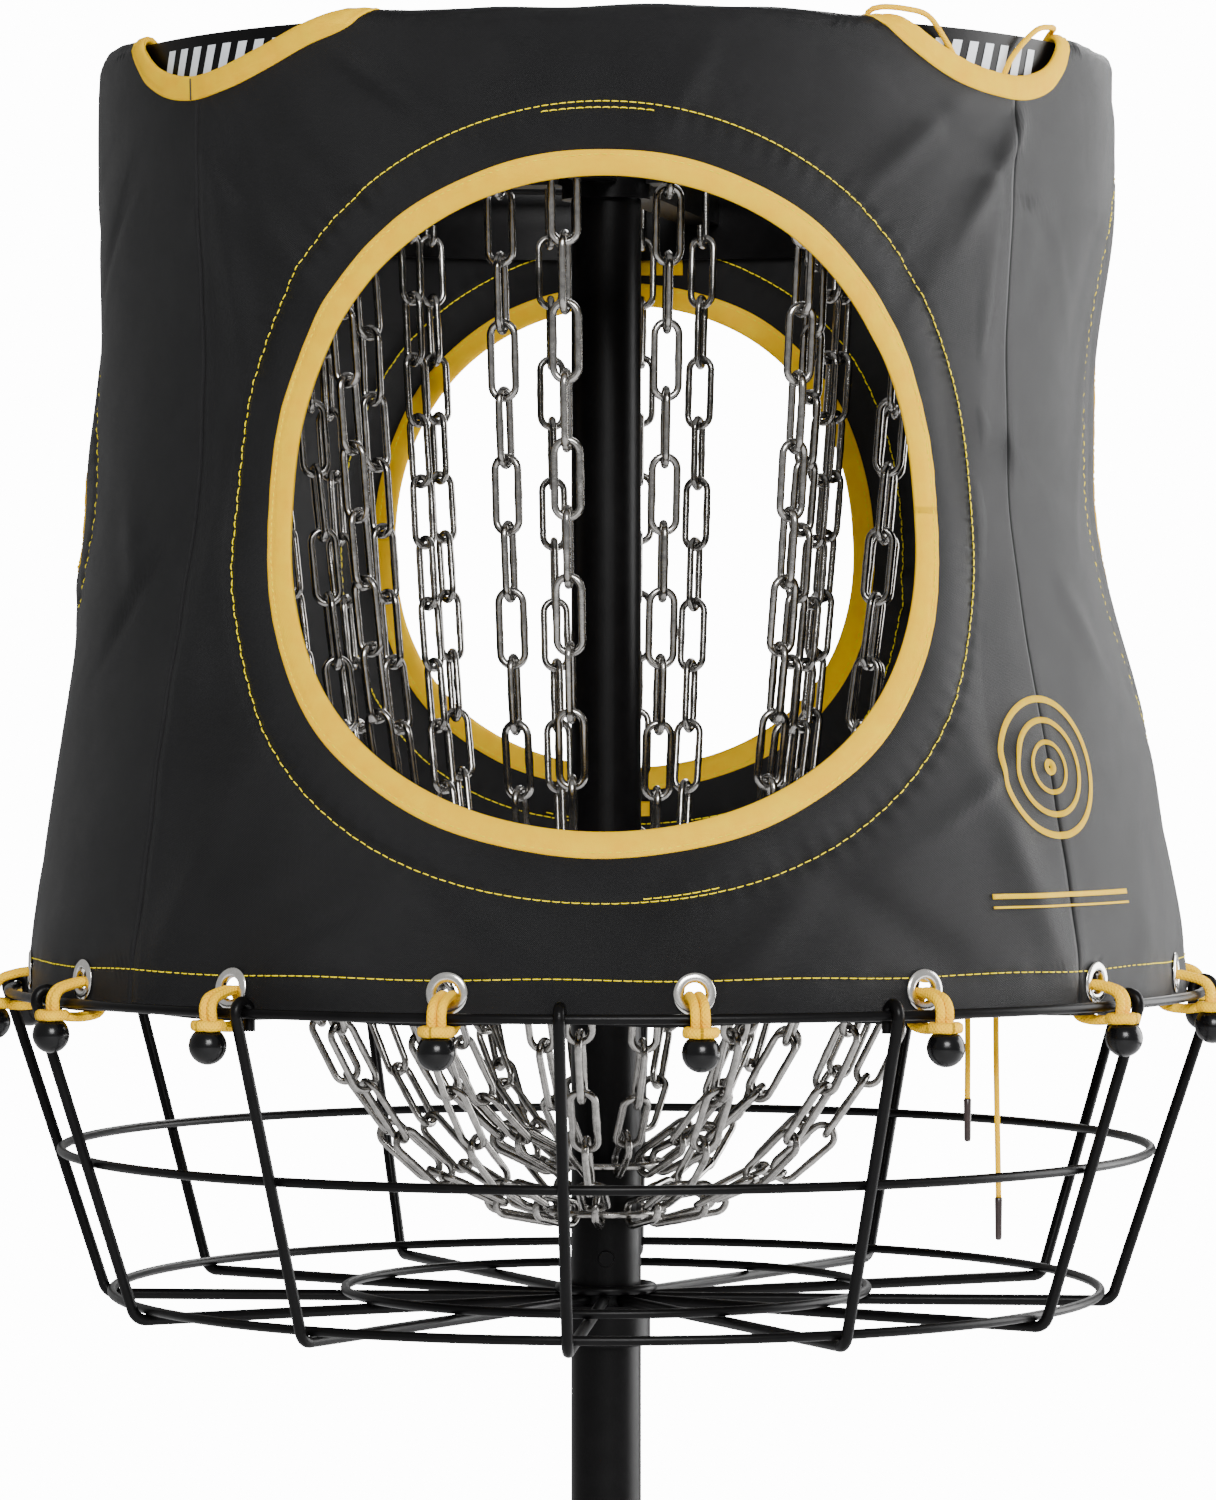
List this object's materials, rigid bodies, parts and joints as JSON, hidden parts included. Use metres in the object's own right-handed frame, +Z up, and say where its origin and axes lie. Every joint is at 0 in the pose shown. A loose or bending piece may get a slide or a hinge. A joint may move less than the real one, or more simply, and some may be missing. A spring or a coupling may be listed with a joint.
{
  "type": "disc golf basket",
  "caption": "Portable disc golf basket with hanging chains over a wire cage, in a fitted black fabric putting cover with round windows, tied on with ball bungees.",
  "frame": {"origin": "centre of the base on the ground", "axes": "+Z up along the pole, the large front window faces -Y, +X to the viewer's right"},
  "size_m": [0.6748, 0.6748, 1.3404],
  "materials": {
    "powder_black": "semi-gloss black powder coat",
    "zinc": "bright zinc plate",
    "nickel": "brushed nickel plate",
    "spring_steel": "plain steel",
    "black_fabric": "woven, soft satin",
    "yellow_cord": "braided",
    "black_plastic": "moulded",
    "brown_plastic": "moulded",
    "rubber": "matte"
  },
  "bodies": {
    "base": {"base_ring": "powder_black", "base_hub": "powder_black", "base_feet": "rubber"},
    "clamp_screw": {"base_screw": "black_plastic"},
    "mast": {"pole_lower": "powder_black", "pole_upper": "powder_black", "pole_coupler": "spring_steel", "button_spring": "spring_steel", "pole_cap": "black_plastic", "cage_collar": "powder_black", "set_screws": "spring_steel", "rim_ring": "powder_black", "middle_ring": "powder_black", "bottom_ring": "powder_black", "floor_ring": "powder_black", "hub_ring": "powder_black", "cage_wires": "powder_black", "band": "powder_black", "band_arms": "powder_black", "band_hub": "powder_black", "hang_rings": "powder_black", "chain_hooks": "zinc", "cover_front": "black_fabric", "cover_right": "black_fabric", "cover_back": "black_fabric", "cover_left": "black_fabric", "grommets": "nickel", "tie_loops": "yellow_cord", "tie_balls": "black_plastic", "drawcord": "yellow_cord", "lace_left": "yellow_cord", "lace_right": "yellow_cord", "lace_tips": "brown_plastic", "outer_chain_01": "zinc", "outer_chain_02": "zinc", "outer_chain_03": "zinc", "outer_chain_04": "zinc", "outer_chain_05": "zinc", "outer_chain_06": "zinc", "outer_chain_07": "zinc", "outer_chain_08": "zinc", "outer_chain_09": "zinc", "outer_chain_10": "zinc", "outer_chain_11": "zinc", "outer_chain_12": "zinc", "inner_chain_01": "zinc", "inner_chain_02": "zinc", "inner_chain_03": "zinc", "inner_chain_04": "zinc", "inner_chain_05": "zinc", "inner_chain_06": "zinc", "inner_chain_07": "zinc", "inner_chain_08": "zinc", "inner_chain_09": "zinc", "inner_chain_10": "zinc", "inner_chain_11": "zinc", "inner_chain_12": "zinc"},
    "button": {"snap_button": "spring_steel"},
    "outer_ring": {"outer_chain_ring": "zinc"},
    "inner_ring": {"inner_chain_ring": "zinc"}
  },
  "joints": [
    {"name": "mast_lift", "type": "slide", "parent": "base", "child": "mast", "axis": [0, 0, 1], "range_m": [0, 0.1]},
    {"name": "clamp_turn", "type": "hinge", "parent": "base", "child": "clamp_screw", "pos_m": [0, 0.035, 0.106], "axis": [0, 1, 0], "range_deg": [0, 360]},
    {"name": "button_press", "type": "slide", "parent": "mast", "child": "button", "axis": [0, 1, 0], "range_m": [0, 0.004], "stiffness_N_per_m": 400, "deforming": ["button_spring"]},
    {"name": "outer_ring_lift", "type": "slide", "parent": "mast", "child": "outer_ring", "axis": [0, 0, 1], "range_m": [0, 0.014], "deforming": ["outer_chain_01", "outer_chain_02", "outer_chain_03", "outer_chain_04", "outer_chain_05", "outer_chain_06", "outer_chain_07", "outer_chain_08", "outer_chain_09", "outer_chain_10", "outer_chain_11", "outer_chain_12"]},
    {"name": "inner_ring_lift", "type": "slide", "parent": "mast", "child": "inner_ring", "axis": [0, 0, 1], "range_m": [0, 0.03], "deforming": ["inner_chain_01", "inner_chain_02", "inner_chain_03", "inner_chain_04", "inner_chain_05", "inner_chain_06", "inner_chain_07", "inner_chain_08", "inner_chain_09", "inner_chain_10", "inner_chain_11", "inner_chain_12"]}
  ]
}
